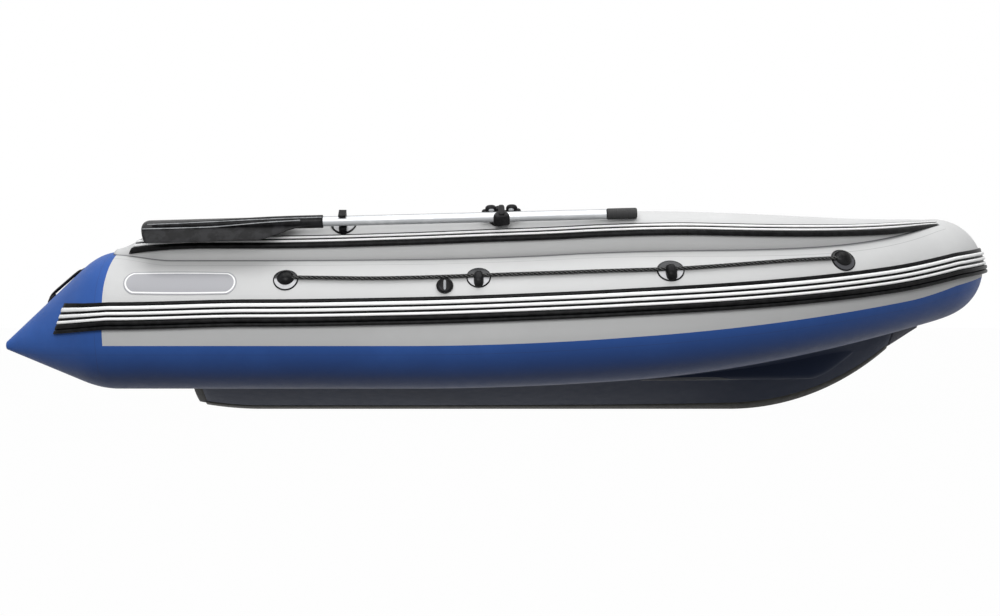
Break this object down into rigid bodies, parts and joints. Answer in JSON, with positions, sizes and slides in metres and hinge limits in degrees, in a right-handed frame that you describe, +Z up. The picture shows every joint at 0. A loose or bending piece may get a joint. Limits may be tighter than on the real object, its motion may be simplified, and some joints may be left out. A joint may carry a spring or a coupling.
{
  "type": "inflatable rowing boat with a transom",
  "caption": "Inflatable boat: horseshoe side tubes with stern cones, bulwark tubes, rub strakes, inflated keel hull, transom, sliding benches, and oars that swing out on rowlocks.",
  "frame": {"origin": "on the underside of the keel, below the middle of the boat", "axes": "+X to the bow, +Y to port, +Z up"},
  "size_m": [3.5834, 1.8162, 0.7367],
  "materials": {
    "grey_fabric": "coated PVC fabric, light grey, satin",
    "blue_fabric": "coated PVC fabric, blue, satin",
    "dark_blue_fabric": "coated PVC fabric, dark blue",
    "black_fabric": "coated PVC fabric, black",
    "bow_fabric": "coated PVC fabric, grey",
    "floor_fabric": "textured deck fabric, grey",
    "strake_rubber": "ridged extruded rubber with white lines",
    "keel_rubber": "ribbed protective strip",
    "fitting_rubber": "moulded soft black",
    "black_plastic": "moulded nylon, fine grain",
    "grip_rubber": "soft grip",
    "bare_aluminium": "drawn tube, satin anodised",
    "rope": "braided rope",
    "transom_board": "marine plywood, grey paint",
    "bench_board": "marine plywood, light grey paint"
  },
  "bodies": {
    "hull": {"tube_upper_port": "grey_fabric", "tube_lower_port": "blue_fabric", "rub_strake_port": "strake_rubber", "tube_upper_starboard": "grey_fabric", "tube_lower_starboard": "blue_fabric", "rub_strake_starboard": "strake_rubber", "tube_upper_bow": "grey_fabric", "tube_lower_bow": "blue_fabric", "rub_strake_bow": "strake_rubber", "stern_cone_port": "blue_fabric", "bulwark_tube_port": "grey_fabric", "bulwark_strake_port": "strake_rubber", "rowlock_base_port": "black_plastic", "oar_clip_port": "fitting_rubber", "rope_eyes_port": "fitting_rubber", "lifeline_port": "rope", "stern_handle_port": "fitting_rubber", "stern_cone_starboard": "blue_fabric", "bulwark_tube_starboard": "grey_fabric", "bulwark_strake_starboard": "strake_rubber", "rowlock_base_starboard": "black_plastic", "oar_clip_starboard": "fitting_rubber", "rope_eyes_starboard": "fitting_rubber", "lifeline_starboard": "rope", "stern_handle_starboard": "fitting_rubber", "tube_valves": "fitting_rubber", "hull_bottom": "dark_blue_fabric", "stern_bottom_panel": "black_fabric", "bow_fairing": "bow_fabric", "keel_strip": "keel_rubber", "cockpit_floor": "floor_fabric", "transom": "transom_board", "transom_outer_pad": "black_plastic", "transom_inner_pad": "black_plastic", "drain_valve": "black_plastic", "seat_rails_aft": "fitting_rubber", "seat_rails_front": "fitting_rubber"},
    "oar_port": {"rowlock_yoke_port": "black_plastic", "oar_shaft_port": "bare_aluminium", "oar_grip_port": "grip_rubber", "oar_blade_port": "black_plastic"},
    "oar_starboard": {"rowlock_yoke_starboard": "black_plastic", "oar_shaft_starboard": "bare_aluminium", "oar_grip_starboard": "grip_rubber", "oar_blade_starboard": "black_plastic"},
    "bench_aft": {"bench_aft": "bench_board", "bench_clips_aft": "black_plastic"},
    "bench_front": {"bench_front": "bench_board", "bench_clips_front": "black_plastic"}
  },
  "joints": [
    {"name": "oar_swing_port", "type": "hinge", "parent": "hull", "child": "oar_port", "pos_m": [-0.07101, 0.695, 0.61426], "axis": [0.029, -0.5, -0.8655], "range_deg": [0, 90]},
    {"name": "oar_swing_starboard", "type": "hinge", "parent": "hull", "child": "oar_starboard", "pos_m": [-0.07101, -0.695, 0.61426], "axis": [-0.029, -0.5, 0.8655], "range_deg": [0, 90]},
    {"name": "bench_slide_aft", "type": "slide", "parent": "hull", "child": "bench_aft", "axis": [1, 0, 0], "range_m": [-0.16, 0.16]},
    {"name": "bench_slide_front", "type": "slide", "parent": "hull", "child": "bench_front", "axis": [0.9988, 0, 0.0495], "range_m": [-0.16, 0.16]}
  ]
}
